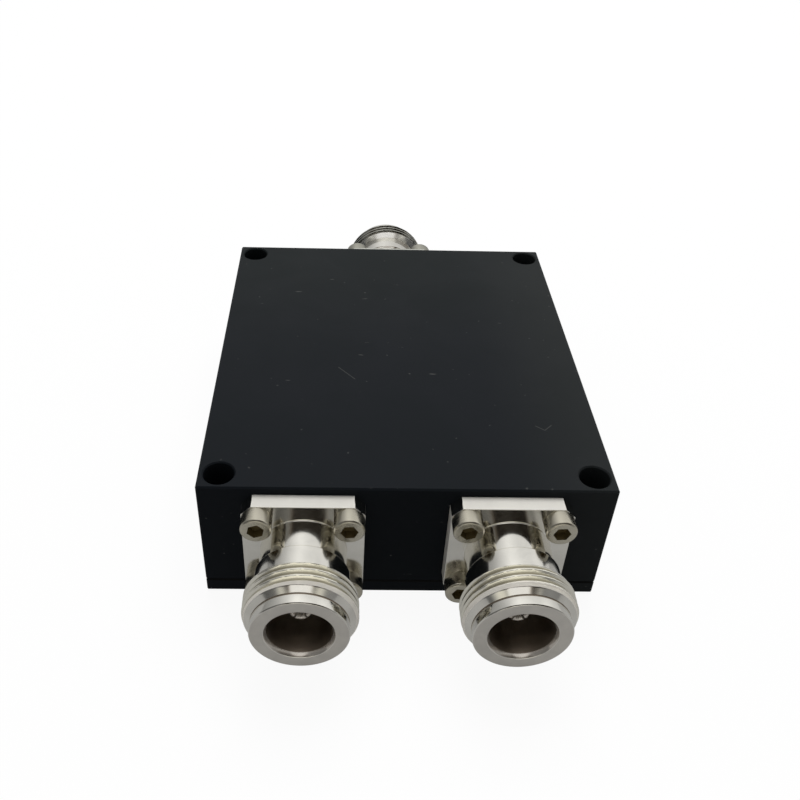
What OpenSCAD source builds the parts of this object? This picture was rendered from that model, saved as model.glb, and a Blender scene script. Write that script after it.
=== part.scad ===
// Two-way power splitter for radio signals: a milled box with three coaxial panel jacks.
// The box opens downwards, carries a printed divider under its roof and is closed by a flat cover.
// The origin lies under the middle of the cover: X runs across the outputs, Y points to the input
// side and Z points up.

/* [Housing] */
// Width of the housing, across the two outputs
housing_w = 60; // [56:0.5:90]
// Length of the housing, from the output face to the input face
housing_l = 70; // [66:0.5:110]
// Height of the housing above the cover
housing_h = 19.5; // [18.5:0.25:30]
// Thickness of the side walls
side_wall = 5; // [4:0.25:7]
// Thickness of the end walls that carry the jacks
end_wall = 6; // [5.5:0.25:8]
// Radius that the cutter leaves in the corners of the cavity
cavity_r = 3; // [1:0.25:5]
// Width of the broken edges of housing and cover
edge_break = 0.25; // [0.1:0.05:0.5]

/* [Cover] */
// Thickness of the cover
cover_t = 2.5; // [2:0.25:5]
// Distance of the end cover screws from the end faces
cover_end_inset = 3; // [2.5:0.25:4]
// Distance of the side cover screws from the side faces
cover_side_inset = 2.5; // [2.25:0.25:3]
// Distance between the two cover screws of one side
cover_side_pitch = 32; // [16:1:44]

/* [Mounting holes] */
// Diameter of the four holes that go right through the box
mount_d = 4.5; // [3:0.1:5]
// Distance of a mounting hole from the side face and from the end face
mount_inset = 3; // [2.75:0.25:4]
// Width of the broken edge at both ends of a mounting hole
mount_break = 0.2; // [0.05:0.05:0.4]

/* [Jack positions] */
// Height of the jack axes above the joint between housing and cover
axis_h = 9.5; // [9:0.25:10]
// Distance between the axes of the two outputs
output_pitch = 29.6; // [24:0.1:32]

/* [Jack body] */
// Width and height of the square flange
flange_w = 17.5; // [17.5:0.1:18.5]
// Thickness of the flange
flange_t = 2.5; // [1.5:0.1:4]
// Leg of the cut at each corner of the flange
flange_corner = 1.5; // [0.5:0.1:2]
// Distance between neighbouring flange screws
flange_pitch = 13; // [12.8:0.05:13.4]
// Diameter of the neck in front of the flange
neck_d = 12.5; // [11:0.1:12.8]
// Length of the neck
neck_l = 4.8; // [1:0.1:6]
// Radius of the fillet between the flange and the neck
neck_fillet = 0.15; // [0.1:0.05:0.4]
// Length of the slope between the neck and the barrel
shoulder_l = 0.2; // [0.1:0.05:1]
// Diameter of the plain barrel behind the thread
barrel_d = 13.4; // [12.9:0.1:14.5]
// Length of the plain barrel
barrel_l = 3.5; // [1:0.1:8]
// Major diameter of the coupling thread, 5/8 inch
thread_d = 15.875; // [15:0.005:16.5]
// Length of the thread at full diameter
thread_l = 2.9; // [1.5:0.1:8]
// Length of the slope behind the thread
thread_back_l = 0.6; // [0.2:0.05:1]
// Length of the slope in front of the thread
thread_lead_l = 1; // [0.2:0.05:1.5]
// Diameter of the smooth pilot in front of the thread
pilot_d = 13.5; // [13.3:0.1:14.4]
// Length of the pilot
pilot_l = 1.7; // [0.5:0.1:4]
// Outer diameter of the flat front rim
rim_d = 13.2; // [11:0.1:13.2]
// Length of the slope from the pilot to the front rim
rim_l = 0.15; // [0.1:0.05:1]
// Inner diameter of the flat front rim
mouth_d = 9.6; // [9.2:0.1:10.4]
// Diameter of the mouth behind its broken edge
throat_d = 8.9; // [8.6:0.1:9.1]
// Length of the broken edge of the mouth
mouth_edge_l = 0.65; // [0.1:0.05:1]
// Length over which the mouth narrows to the bore
throat_l = 2.5; // [1:0.1:4]
// Diameter of the bore that takes the plug
bore_d = 8.15; // [7.6:0.05:8.5]
// Depth of the insulator behind the front rim
bore_depth = 8.9; // [7:0.1:10]

/* [Insulator] */
// Diameter of the insulator
insulator_d = 7; // [5:0.1:7.4]
// Diameter of the collar that is trapped behind the flange
collar_d = 8.4; // [7.6:0.1:9]
// Thickness of the collar
collar_t = 1.2; // [0.5:0.1:1.4]

/* [Centre contact] */
// Outer diameter of the socket
socket_d = 3.04; // [2.6:0.02:3.4]
// Diameter of the bore of the socket
socket_bore_d = 1.66; // [1.4:0.02:1.8]
// Depth of the bore of the socket
socket_bore_l = 5; // [4:0.1:7]
// Depth of the tip of the socket behind the front rim
socket_recess = 3.7; // [3:0.1:5]
// Width of the slots that make the socket springy
slot_w = 0.35; // [0.2:0.05:0.5]
// Depth of the slots
slot_l = 4; // [2:0.1:4.5]
// Broken edge at the tip of the socket
tip_break = 0.2; // [0.05:0.05:0.3]
// Diameter of the solder pin
pin_d = 1.3; // [0.8:0.1:1.6]
// Reach of the solder pin past the inner face of the wall
pin_reach = 2.5; // [1.5:0.1:4]

/* [Circuit board] */
// Thickness of the board
board_t = 0.8; // [0.5:0.1:1.6]
// Gap between the board and the cavity walls
board_gap = 0.25; // [0.1:0.05:0.5]
// Distance of the board screws from the edges of the board
board_screw_inset = 4.5; // [4:0.25:5]
// Thickness of the printed conductor
trace_t = 0.07; // [0.05:0.01:0.2]
// Width of the feed lines
feed_w = 2.2; // [1.8:0.1:3]
// Distance of the ends of the feed lines from the edges of the board
feed_inset = 0.5; // [0.2:0.1:1.5]
// Middle radius of the first ring
ring_a_r = 9; // [7:0.25:9.5]
// Conductor width of the first ring
ring_a_w = 1.2; // [0.8:0.1:1.6]
// Middle radius of the second ring
ring_b_r = 8; // [6:0.25:8.5]
// Conductor width of the second ring
ring_b_w = 1.6; // [1:0.1:2]
// Distance of the centre of the first ring from the middle of the board
ring_a_y = 11; // [9:0.25:13]
// Gap between the two halves of the divider
half_gap = 1.8; // [1:0.1:2.2]
// Length of a chip resistor
chip_l = 3.2; // [2.8:0.1:4]
// Width of a chip resistor
chip_w = 1.6; // [1:0.1:2]
// Thickness of a chip resistor
chip_t = 0.55; // [0.4:0.05:0.8]
// Length of the metal caps of a chip resistor
chip_cap_l = 0.5; // [0.3:0.05:0.8]
// Thickness that the metal caps add to a chip resistor
chip_cap_t = 0.05; // [0.02:0.01:0.1]

/* [Solder] */
// Width of a solder joint on the conductor
solder_w = 2; // [1.8:0.1:2.2]
// Width of a solder joint beside the pin
solder_pin_w = 1.6; // [1.5:0.05:1.8]
// Length of solder beyond the tip of the pin
solder_tip_l = 0.4; // [0.2:0.1:1]
// Solder film between pin and conductor
solder_film = 0.05; // [0.03:0.01:0.1]
// Distance of the solder from the insulator
solder_back = 0.8; // [0.5:0.1:1.2]

/* [Screws] */
// Thread diameter of the flange screws
flange_screw_d = 2.5; // [2:0.1:3]
// Length of a flange screw under its head
flange_screw_l = 6; // [4.5:0.5:7]
// Diameter of the head of a flange screw
flange_head_d = 4.4; // [3.8:0.1:4.5]
// Height of the head of a flange screw
flange_head_h = 2.5; // [2:0.1:3]
// Width across the flats of the hexagon socket
hex_w = 2.2; // [1.5:0.1:2.4]
// Depth of the hexagon socket
hex_l = 1.3; // [1:0.1:1.8]
// Broken edge of the screw heads
head_break = 0.25; // [0.1:0.05:0.4]
// Thread diameter of the cover screws
cover_screw_d = 2; // [1.6:0.1:2.5]
// Length of a cover screw with its head
cover_screw_l = 6; // [5.5:0.5:6.5]
// Diameter of the countersunk head of a cover screw
cover_head_d = 3.8; // [3.4:0.1:4]
// Straight land at the rim of the countersunk head
cover_head_land = 0.15; // [0.05:0.05:0.3]
// Thread diameter of the board screws
board_screw_d = 2.5; // [2:0.1:3]
// Length of a board screw under its head
board_screw_l = 5; // [4:0.5:7]
// Diameter of the head of a board screw
board_head_d = 4.5; // [4:0.1:5]
// Height of the head of a board screw
board_head_h = 1.8; // [1.2:0.1:2.2]
// Length of the arms of a cross recess
cross_l = 2.1; // [1.6:0.1:2.4]
// Width of the arms of a cross recess
cross_w = 0.5; // [0.4:0.05:0.7]
// Depth of a cross recess
cross_t = 0.7; // [0.4:0.05:0.9]
// Depth of a tapped hole beyond the tip of its screw
tap_extra = 0.8; // [0.3:0.1:1]

/* [Fits] */
// Clearance on the radius of pressed and threaded parts
close_fit = 0.02; // [0.01:0.01:0.05]
// Clearance on the radius of screws in plain holes
screw_fit = 0.15; // [0.1:0.05:0.3]

/* [Hidden] */
$fn = 96;
// Overlap of cutting tools with the faces that they cut
cut = 1;
total_h = cover_t + housing_h;
axis_z = cover_t + axis_h;
face_y = housing_l / 2;
cavity_w = housing_w - 2 * side_wall;
cavity_l = housing_l - 2 * end_wall;
// Heights of the conductor, the board and the roof of the cavity
trace_z = axis_z + pin_d / 2 + solder_film;
board_z = trace_z + trace_t;
roof_z = board_z + board_t;
board_w = cavity_w - 2 * board_gap;
board_l = cavity_l - 2 * board_gap;
board_r = cavity_r + board_gap;
mount_x = housing_w / 2 - mount_inset;
mount_y = housing_l / 2 - mount_inset;
// Stations along the axis of a jack, measured outwards from the face of the housing
neck_end = flange_t + neck_l;
shoulder_end = neck_end + shoulder_l;
barrel_end = shoulder_end + barrel_l;
thread_start = barrel_end + thread_back_l;
thread_end = thread_start + thread_l;
pilot_start = thread_end + thread_lead_l;
pilot_end = pilot_start + pilot_l;
body_l = pilot_end + rim_l;
bore_end = body_l - bore_depth;
throat_start = body_l - mouth_edge_l;
throat_end = throat_start - throat_l;
socket_tip = body_l - socket_recess;
pin_tip = end_wall + pin_reach;
// Height of the cone of a countersunk head with an angle of 90 degrees
cover_cone_h = (cover_head_d - cover_screw_d) / 2;
flange_tap_l = flange_screw_l - flange_t + tap_extra;
cover_tap_l = cover_screw_l - cover_t + tap_extra;
board_tap_l = board_screw_l - board_t + tap_extra;
// Diameter of a circle around a hexagon of a given width across its flats
hex_d = hex_w / cos(30);
// The first ring ends where the second begins, and the outputs leave the end of the second
ring_join_y = ring_a_y - ring_a_r;
ring_b_y = ring_join_y - ring_b_r;
output_y = ring_b_y - ring_b_r;
board_end = board_l / 2 - feed_inset;
mount_points = [for (sx = [-1, 1], sy = [-1, 1]) [sx * mount_x, sy * mount_y]];
cover_points = concat(
    [for (sy = [-1, 1]) [0, sy * (housing_l / 2 - cover_end_inset)]],
    [for (sx = [-1, 1], sy = [-1, 1])
        [sx * (housing_w / 2 - cover_side_inset), sy * cover_side_pitch / 2]]
);
board_points = [for (sx = [-1, 1], sy = [-1, 0, 1])
    [sx * (board_w / 2 - board_screw_inset), sy * (board_l / 2 - board_screw_inset)]];
flange_points = [for (sx = [-1, 1], sy = [-1, 1]) [sx, sy] * flange_pitch / 2];
// Each port has its place along X and the turn that points its jack outwards
input_port = [0, 180];
left_port = [-output_pitch / 2, 0];
right_port = [output_pitch / 2, 0];
ports = [input_port, left_port, right_port];

// Shared shapes

// Rectangle with cut corners
module cut_rect(w, l, c) {
    x = w / 2;
    y = l / 2;
    polygon([
        [x - c, -y], [x, c - y], [x, y - c], [x - c, y],
        [c - x, y], [-x, y - c], [-x, c - y], [c - x, -y]
    ]);
}

// Rectangle with round corners
module round_rect(w, l, r) {
    square([w - 2 * r, l], center = true);
    square([w, l - 2 * r], center = true);
    for (sx = [-1, 1], sy = [-1, 1])
        translate([sx * (w / 2 - r), sy * (l / 2 - r)])
            circle(r);
}

// Block that stands on Z = 0 with all its edges broken
module eased_block(w, l, h) {
    intersection() {
        linear_extrude(h)
            cut_rect(w, l, edge_break);
        translate([0, l / 2, h / 2])
            rotate([90, 0, 0])
                linear_extrude(l)
                    cut_rect(w, h, edge_break);
        translate([-w / 2, 0, h / 2])
            rotate([90, 0, 90])
                linear_extrude(w)
                    cut_rect(l, h, edge_break);
    }
}

// Mounting hole with broken edges, between two heights
module mount_cut(z0, z1) {
    translate([0, 0, z0 - cut])
        cylinder(h = z1 - z0 + 2 * cut, d = mount_d);
    for (end = [[z0, 0], [z1, 180]])
        translate([0, 0, end[0]])
            rotate([end[1], 0, 0])
                cylinder(h = mount_break, d1 = mount_d + 2 * mount_break, d2 = mount_d);
}

// Tapped hole that starts at Z = 0 and runs along +Z
module tapped_cut(d, depth) {
    translate([0, 0, -cut])
        cylinder(h = depth + cut, r = d / 2 + close_fit);
}

// Cross recess in a head, cut along +Z from Z = 0
module cross_cut() {
    for (turn = [0, 90])
        rotate([0, 0, turn])
            translate([-cross_l / 2, -cross_w / 2, -cut])
                cube([cross_l, cross_w, cross_t + cut]);
}

// Puts a shape that is drawn along +Z on the axis of a port, with +Y turned upwards
module at_port(port) {
    translate([port[0], 0, axis_z])
        rotate([90, 0, port[1]])
            translate([0, 0, face_y])
                children();
}

// Half ring of the divider, open towards its middle line by half of the gap
module half_ring(r, w) {
    intersection() {
        difference() {
            circle(r + w / 2);
            circle(r - w / 2);
        }
        translate([half_gap / 2, -r - w])
            square([r + w, 2 * (r + w)]);
    }
}

// Box pieces

module housing() {
    color("#1c1d1f")
        difference() {
            translate([0, 0, cover_t])
                eased_block(housing_w, housing_l, housing_h);
            translate([0, 0, cover_t - cut])
                linear_extrude(roof_z - cover_t + cut)
                    round_rect(cavity_w, cavity_l, cavity_r);
            for (at = mount_points)
                translate(at)
                    mount_cut(cover_t, total_h);
            for (at = cover_points)
                translate([at[0], at[1], cover_t])
                    tapped_cut(cover_screw_d, cover_tap_l);
            for (at = board_points)
                translate([at[0], at[1], roof_z])
                    tapped_cut(board_screw_d, board_tap_l);
            for (port = ports)
                at_port(port)
                    port_cut();
        }
}

// Bore for the insulator and tapped holes for the flange screws, cut inwards from the face
module port_cut() {
    translate([0, 0, -end_wall - cut])
        cylinder(h = end_wall + 2 * cut, r = insulator_d / 2 + close_fit);
    for (at = flange_points)
        translate(at)
            rotate([180, 0, 0])
                tapped_cut(flange_screw_d, flange_tap_l);
}

module bottom_cover() {
    color("#1a1b1d")
        difference() {
            eased_block(housing_w, housing_l, cover_t);
            for (at = mount_points)
                translate(at)
                    mount_cut(0, cover_t);
            for (at = cover_points)
                translate(at)
                    countersink_cut();
        }
}

// Clearance hole with a countersink that opens at Z = 0
module countersink_cut() {
    seat_r = cover_head_d / 2 + close_fit;
    hole_r = cover_screw_d / 2 + screw_fit;
    translate([0, 0, -cut])
        cylinder(h = cover_t + 2 * cut, r = hole_r);
    translate([0, 0, -cut])
        cylinder(h = cut + cover_head_land, r = seat_r);
    translate([0, 0, cover_head_land])
        cylinder(h = seat_r - hole_r, r1 = seat_r, r2 = hole_r);
}

module cover_screws() {
    color("#8d9092")
        for (at = cover_points)
            translate(at)
                difference() {
                    rotate_extrude()
                        polygon([
                            [0, 0], [cover_head_d / 2, 0], [cover_head_d / 2, cover_head_land],
                            [cover_screw_d / 2, cover_head_land + cover_cone_h],
                            [cover_screw_d / 2, cover_screw_l], [0, cover_screw_l]
                        ]);
                    cross_cut();
                }
}

// Divider circuit

module circuit_board() {
    color("#d9d2b4")
        translate([0, 0, board_z])
            difference() {
                linear_extrude(board_t)
                    round_rect(board_w, board_l, board_r);
                for (at = board_points)
                    translate([at[0], at[1], -cut])
                        cylinder(h = board_t + 2 * cut, r = board_screw_d / 2 + screw_fit);
            }
}

module divider_trace() {
    color("#b9793a")
        translate([0, 0, trace_z])
            linear_extrude(trace_t)
                trace_outline();
}

// Feed line, two rings that are open at their ends, and two output lines
module trace_outline() {
    feed_y = ring_a_y + ring_a_r - ring_a_w / 2;
    translate([-feed_w / 2, feed_y])
        square([feed_w, board_end - feed_y]);
    for (side = [0, 1])
        mirror([side, 0]) {
            translate([0, ring_a_y])
                half_ring(ring_a_r, ring_a_w);
            translate([0, ring_b_y])
                half_ring(ring_b_r, ring_b_w);
            translate([half_gap / 2, output_y - feed_w / 2])
                square([output_pitch / 2 - half_gap / 2, feed_w]);
            translate([output_pitch / 2, output_y])
                circle(d = feed_w);
            translate([output_pitch / 2 - feed_w / 2, -board_end])
                square([feed_w, board_end + output_y]);
        }
}

module isolation_resistors() {
    color("#2b2b2e")
        for (y = [ring_join_y, output_y])
            translate([0, y, trace_z - chip_cap_t - chip_t / 2]) {
                cube([chip_l - 2 * chip_cap_l, chip_w, chip_t], center = true);
                for (sx = [-1, 1])
                    translate([sx * (chip_l - chip_cap_l) / 2, 0, 0])
                        cube([chip_cap_l, chip_w, chip_t + 2 * chip_cap_t], center = true);
            }
}

module board_screws() {
    color("#9a9da0")
        for (at = board_points)
            translate([at[0], at[1], board_z])
                difference() {
                    rotate_extrude()
                        polygon([
                            [0, -board_head_h], [board_head_d / 2 - head_break, -board_head_h],
                            [board_head_d / 2, head_break - board_head_h], [board_head_d / 2, 0],
                            [board_screw_d / 2, 0], [board_screw_d / 2, board_screw_l],
                            [0, board_screw_l]
                        ]);
                    translate([0, 0, -board_head_h])
                        cross_cut();
                }
}

module solder_joints() {
    color("#a9acae")
        for (port = ports)
            at_port(port)
                translate([0, 0, -end_wall])
                    solder_joint();
}

// Solder that wets the sides and the tip of one pin, drawn from the inner face of the wall
module solder_joint() {
    top = trace_z - axis_z;
    difference() {
        translate([0, 0, -pin_reach - solder_tip_l])
            linear_extrude(pin_reach + solder_tip_l - solder_back)
                polygon([
                    [-solder_w / 2, top], [-solder_pin_w / 2, 0],
                    [solder_pin_w / 2, 0], [solder_w / 2, top]
                ]);
        translate([0, 0, -pin_reach])
            cylinder(h = pin_reach, r = pin_d / 2 + close_fit);
    }
}

// Jack pieces, drawn along +Z from the face of the housing

module connector_body() {
    color("#c4c2ba")
        difference() {
            union() {
                linear_extrude(flange_t)
                    cut_rect(flange_w, flange_w, flange_corner);
                rotate_extrude()
                    body_profile();
            }
            for (at = flange_points)
                translate([at[0], at[1], -cut])
                    cylinder(h = flange_t + 2 * cut, r = flange_screw_d / 2 + screw_fit);
            translate([0, 0, -cut])
                cylinder(h = cut + collar_t, r = collar_d / 2 + close_fit);
            translate([0, 0, -cut])
                cylinder(h = cut + bore_end, r = insulator_d / 2 + close_fit);
            rotate_extrude()
                bore_profile();
        }
}

// Half section of the turned outside of a jack
module body_profile() {
    polygon([
        [0, 0], [neck_d / 2, 0], [neck_d / 2, neck_end], [barrel_d / 2, shoulder_end],
        [barrel_d / 2, barrel_end], [thread_d / 2, thread_start], [thread_d / 2, thread_end],
        [pilot_d / 2, pilot_start], [pilot_d / 2, pilot_end], [rim_d / 2, body_l], [0, body_l]
    ]);
    translate([neck_d / 2, flange_t])
        difference() {
            square(neck_fillet);
            translate([neck_fillet, neck_fillet])
                circle(neck_fillet);
        }
}

// Half section of the bore that takes the plug
module bore_profile() {
    polygon([
        [0, bore_end], [bore_d / 2, bore_end], [bore_d / 2, throat_end],
        [throat_d / 2, throat_start], [mouth_d / 2, body_l], [mouth_d / 2, body_l + cut],
        [0, body_l + cut]
    ]);
}

module insulator() {
    color("#efece2")
        difference() {
            union() {
                translate([0, 0, -end_wall])
                    cylinder(h = end_wall + bore_end, d = insulator_d);
                cylinder(h = collar_t - close_fit, d = collar_d);
            }
            translate([0, 0, -end_wall - cut])
                cylinder(h = end_wall + 2 * cut, r = pin_d / 2 + close_fit);
            cylinder(h = bore_end + cut, r = socket_d / 2 + close_fit);
        }
}

module center_contact() {
    color("#bdbbb4")
        difference() {
            rotate_extrude()
                polygon([
                    [0, -pin_tip], [pin_d / 2, -pin_tip], [pin_d / 2, 0], [socket_d / 2, 0],
                    [socket_d / 2, socket_tip - tip_break],
                    [socket_d / 2 - tip_break, socket_tip], [0, socket_tip]
                ]);
            translate([0, 0, socket_tip - socket_bore_l])
                cylinder(h = socket_bore_l + cut, d = socket_bore_d);
            for (turn = [45, 135])
                rotate([0, 0, turn])
                    translate([-slot_w / 2, -socket_d, socket_tip - slot_l])
                        cube([slot_w, 2 * socket_d, slot_l + cut]);
        }
}

module flange_screws() {
    color("#b7b6b0")
        for (at = flange_points)
            translate([at[0], at[1], flange_t])
                difference() {
                    rotate_extrude()
                        polygon([
                            [0, -flange_screw_l], [flange_screw_d / 2, -flange_screw_l],
                            [flange_screw_d / 2, 0], [flange_head_d / 2, 0],
                            [flange_head_d / 2, flange_head_h - head_break],
                            [flange_head_d / 2 - head_break, flange_head_h], [0, flange_head_h]
                        ]);
                    translate([0, 0, flange_head_h - hex_l])
                        cylinder(h = hex_l + cut, d = hex_d, $fn = 6);
                }
}

housing();
bottom_cover();
cover_screws();
circuit_board();
divider_trace();
isolation_resistors();
board_screws();
solder_joints();
at_port(input_port) connector_body();  // input_connector_body
at_port(input_port) insulator();  // input_insulator
at_port(input_port) center_contact();  // input_center_contact
at_port(input_port) flange_screws();  // input_flange_screws
at_port(left_port) connector_body();  // output_left_connector_body
at_port(left_port) insulator();  // output_left_insulator
at_port(left_port) center_contact();  // output_left_center_contact
at_port(left_port) flange_screws();  // output_left_flange_screws
at_port(right_port) connector_body();  // output_right_connector_body
at_port(right_port) insulator();  // output_right_insulator
at_port(right_port) center_contact();  // output_right_center_contact
at_port(right_port) flange_screws();  // output_right_flange_screws
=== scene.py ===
"""Finish of a two-way power splitter with three coaxial panel jacks.

The solids come from the packed model. This file models the jacks, contacts, insulators and screws with
their threads, slots and eased edges, gives every piece its finish and sets a plain studio around them.
A jack's pieces are drawn along +Z from the face of the housing, with +Y up, and then set on their port.
"""

import math

import bpy
from mathutils import Matrix, Vector


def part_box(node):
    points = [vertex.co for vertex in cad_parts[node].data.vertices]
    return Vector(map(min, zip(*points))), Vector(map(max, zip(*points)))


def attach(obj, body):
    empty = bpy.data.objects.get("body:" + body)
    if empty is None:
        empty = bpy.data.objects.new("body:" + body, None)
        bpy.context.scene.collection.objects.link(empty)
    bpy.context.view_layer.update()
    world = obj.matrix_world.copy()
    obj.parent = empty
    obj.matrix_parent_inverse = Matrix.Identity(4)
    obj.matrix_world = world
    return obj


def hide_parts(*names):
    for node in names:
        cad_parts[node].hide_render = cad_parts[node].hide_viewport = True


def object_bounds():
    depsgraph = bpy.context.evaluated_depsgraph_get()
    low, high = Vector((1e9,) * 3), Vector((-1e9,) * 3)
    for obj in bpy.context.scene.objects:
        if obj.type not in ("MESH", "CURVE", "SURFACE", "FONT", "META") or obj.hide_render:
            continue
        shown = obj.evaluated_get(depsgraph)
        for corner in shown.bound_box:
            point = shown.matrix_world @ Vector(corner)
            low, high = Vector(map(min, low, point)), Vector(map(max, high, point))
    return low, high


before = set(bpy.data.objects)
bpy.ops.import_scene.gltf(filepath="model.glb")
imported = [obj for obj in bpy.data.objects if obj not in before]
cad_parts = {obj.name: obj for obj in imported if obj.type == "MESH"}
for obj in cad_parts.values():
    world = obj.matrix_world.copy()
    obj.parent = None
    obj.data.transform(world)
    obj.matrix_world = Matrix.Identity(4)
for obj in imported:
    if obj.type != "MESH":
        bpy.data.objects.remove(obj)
CAD_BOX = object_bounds()

bl_info = {
    "name": "Power Splitter Finish",
    "version": (1, 0, 0),
    "blender": (4, 5, 0),
    "location": "View3D > Sidebar > Splitter",
    "description": "Models and finishes a two-way power splitter with three coaxial jacks",
    "category": "Object",
}

MM = 0.001
BODY = "root"
PORTS = ("input", "output_left", "output_right")
LOCAL = "turned_at"
FLOAT = "NodeSocketFloat"
VECTOR = "NodeSocketVector"
WELD = MM / 1000
BUMP_DEPTH = 0.02 * MM
PLATE_SHADE = 0.90
GRAIN_SHADE = 0.82
SENSOR = 36
JACK_LOW, JACK_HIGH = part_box("output_left_connector_body")
BOX_LOW, BOX_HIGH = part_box("housing")


# Settings

def length(name, description, default):
    """A size in metres."""
    return bpy.props.FloatProperty(
        name=name, description=description, default=default,
        min=0.0, precision=5, unit="LENGTH", subtype="DISTANCE")


def colour(name, description, default):
    """A linear colour."""
    return bpy.props.FloatVectorProperty(
        name=name, description=description, default=default,
        min=0.0, max=1.0, size=3, subtype="COLOR")


def share(name, description, default, highest=1.0):
    """A plain number from zero upwards."""
    return bpy.props.FloatProperty(
        name=name, description=description, default=default,
        min=0.0, max=highest, subtype="FACTOR")


class SplitterBoxSettings(bpy.types.PropertyGroup):
    """Finish of the anodised box."""
    black: colour("Black", "Deep tone of the anodised skin", (0.0032, 0.0049, 0.0075))
    sheen: colour("Sheen", "Paler tone of the anodised skin", (0.0056, 0.0082, 0.0088))
    # Painted light: a paler tone towards the right end of the box
    painted_light: colour("Haze", "Paler tone towards the right end", (0.0150, 0.0172, 0.0172))
    seam: colour("Seam", "Tone along the joint between housing and cover", (0.0004, 0.0004, 0.0005))
    dust: colour("Dust", "Colour of specks and scratches", (0.11, 0.11, 0.105))
    grain: length("Grain", "Size of the blasted grain under the skin", 0.12 * MM)
    patch: length("Patches", "Size of the soft patches in the skin", 14 * MM)
    speck: length("Speck", "Radius of a speck of dust", 0.16 * MM)
    spacing: length("Spacing", "Mean distance between specks of dust", 1.8 * MM)
    scratch_w: length("Scratch", "Width of a fine scratch", 0.09 * MM)
    seam_w: length("Seam width", "Half width of the dark joint line", 0.35 * MM)
    seam_core: length("Seam core", "Half width of the darkest part of the joint line", 0.15 * MM)
    patch_sheen: share("Patch sheen", "Share of the sheen that the soft patches add", 0.25)
    # Painted sheen: the skin is drawn paler towards the back end of the box
    painted_back_sheen: share("Back sheen", "Share of the sheen at the back end of the box", 0.75)
    # Painted light: share of the paler tone at the right end
    right_painted_light: share("Right haze", "Share of the haze at the right end of the box", 0.7)
    seam_share: share("Seam strength", "Strength of the dark joint line", 0.9)
    specks: share("Specks", "Share of places that hold a speck of dust", 0.5)
    lint: share("Lint", "Share of places that hold a fibre of lint", 0.3)
    marks: share("Marks", "Strength of the fine scratches", 0.55)


class SplitterJackSettings(bpy.types.PropertyGroup):
    """Sizes and finish of the three jack bodies."""
    flange_w: length("Flange width", "Width and height of the flange", JACK_HIGH.x - JACK_LOW.x)
    flange_t: length("Flange thickness", "Thickness of the flange", 2.5 * MM)
    flange_corner: length("Flange corner", "Leg of the cut at each corner of the flange", 1.5 * MM)
    flange_edge: length("Flange edge", "Rounding of the edges of the flange", 0.09 * MM)
    flange_pitch: length("Screw pitch", "Distance between neighbouring flange screws", 13 * MM)
    flange_hole_r: length("Screw hole", "Radius of the screw holes in the flange", 1.4 * MM)
    neck_r: length("Neck radius", "Radius of the neck in front of the flange", 6.25 * MM)
    neck_fillet: length("Neck fillet", "Radius between flange and neck", 0.20 * MM)
    neck_end: length("Neck end", "End of the neck, from the housing", 7.3 * MM)
    shoulder_end: length("Shoulder end", "End of the slope behind the barrel, from the housing", 7.5 * MM)
    barrel_r: length("Barrel radius", "Radius of the barrel behind the thread", 6.7 * MM)
    barrel_end: length("Barrel end", "End of the barrel, from the housing", 11 * MM)
    thread_start: length("Thread start", "Start of the thread at full size", 11.6 * MM)
    thread_end: length("Thread end", "End of the thread at full size", 14.5 * MM)
    thread_r: length("Thread radius", "Major radius of the coupling thread", 7.9375 * MM)
    thread_pitch: length("Thread pitch", "Pitch of the coupling thread, 24 turns an inch", 25.4 * MM / 24)
    thread_depth: length("Thread depth", "Depth of the thread grooves", 0.60 * MM)
    nose_r: length("Nose radius", "Radius where the rounded front end of the thread steepens", 7.52 * MM)
    nose_end: length("Nose end", "Place where the front end of the thread steepens", 15.0 * MM)
    relief: length("Relief", "Depth of the fine groove between thread and pilot", 0.12 * MM)
    pilot_r: length("Pilot radius", "Radius of the smooth pilot in front of the thread", 6.75 * MM)
    pilot_start: length("Pilot start", "Start of the pilot, from the housing", 15.68 * MM)
    pilot_end: length("Pilot end", "End of the pilot, from the housing", 17.2 * MM)
    rim_r: length("Rim radius", "Outer radius of the flat front rim", 6.6 * MM)
    body_l: length("Body length", "Length of the jack in front of the housing", JACK_HIGH.y - JACK_LOW.y)
    mouth_r: length("Mouth radius", "Inner radius of the flat front rim", 4.8 * MM)
    throat_r: length("Throat radius", "Radius of the mouth behind its broken edge", 4.45 * MM)
    mouth_edge_l: length("Mouth edge", "Length of the broken edge of the mouth", 0.65 * MM)
    throat_l: length("Throat length", "Length over which the mouth narrows", 2.5 * MM)
    bore_r: length("Bore radius", "Radius of the bore that takes the plug", 4.075 * MM)
    bore_end: length("Bore end", "Face of the insulator, from the housing", 8.45 * MM)
    nickel: colour("Nickel", "Colour of the nickel plate", (0.845, 0.825, 0.76))
    satin: colour("Satin nickel", "Colour of the faced rim", (0.70, 0.67, 0.615))
    milled: colour("Milled nickel", "Colour of the sawn edges of the flange", (0.80, 0.78, 0.72))
    # Painted shade inside the bore and in the fine groove in front of the thread
    shade: colour("Bore", "Colour inside the bore, where little light comes", (0.30, 0.25, 0.20))
    edge: colour("Mouth edge", "Colour of the broken edge of the mouth", (0.72, 0.67, 0.60))
    # Painted light: a paler copy of the nickel on the slope behind the thread
    shoulder: colour("Shoulder", "Colour of the slope behind the thread", (0.95, 0.94, 0.90))
    # Painted light: a pale, nearly matt copy of the nickel on the front end of the thread
    nose: colour("Nose", "Colour of the rounded front end of the thread", (0.97, 0.925, 0.835))
    thread: colour("Thread", "Colour of the thread", (0.90, 0.875, 0.77))
    # Painted shade in the roots of the thread
    root: colour("Thread roots", "Colour of the roots of the thread", (0.61, 0.58, 0.485))
    # Painted shade on the rear jack, its screws and the edges of its flange
    rear_shade: colour("Dull plate", "Colour that the plating of the rear jack tends to", (0.30, 0.315, 0.285))


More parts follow.
